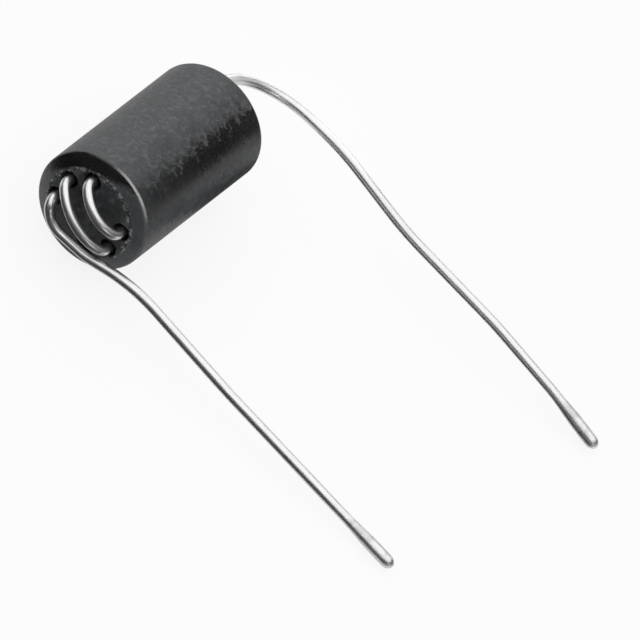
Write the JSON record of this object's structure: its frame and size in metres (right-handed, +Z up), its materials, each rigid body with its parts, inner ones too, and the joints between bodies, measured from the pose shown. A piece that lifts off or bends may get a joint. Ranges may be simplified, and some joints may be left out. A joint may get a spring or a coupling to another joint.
{
  "type": "ferrite bead",
  "caption": "Cylindrical ferrite core with lengthwise holes, wound with tinned copper wire whose long leads both run out to one side: a wide-band choke that suppresses interference.",
  "frame": {"origin": "on the ground or board under the middle of the core, where the barrel touches it", "axes": "+Y along the core's axis, from the end face where the front lead leaves to the other; +X the way both leads run; +Z up"},
  "size_m": [0.026, 0.0163, 0.006],
  "materials": {
    "ferrite": "matte sintered ferrite",
    "tinned_wire": "bright tinned copper"
  },
  "bodies": {
    "root": {"ferrite_core": "ferrite", "winding_wire": "tinned_wire"}
  },
  "joints": []
}
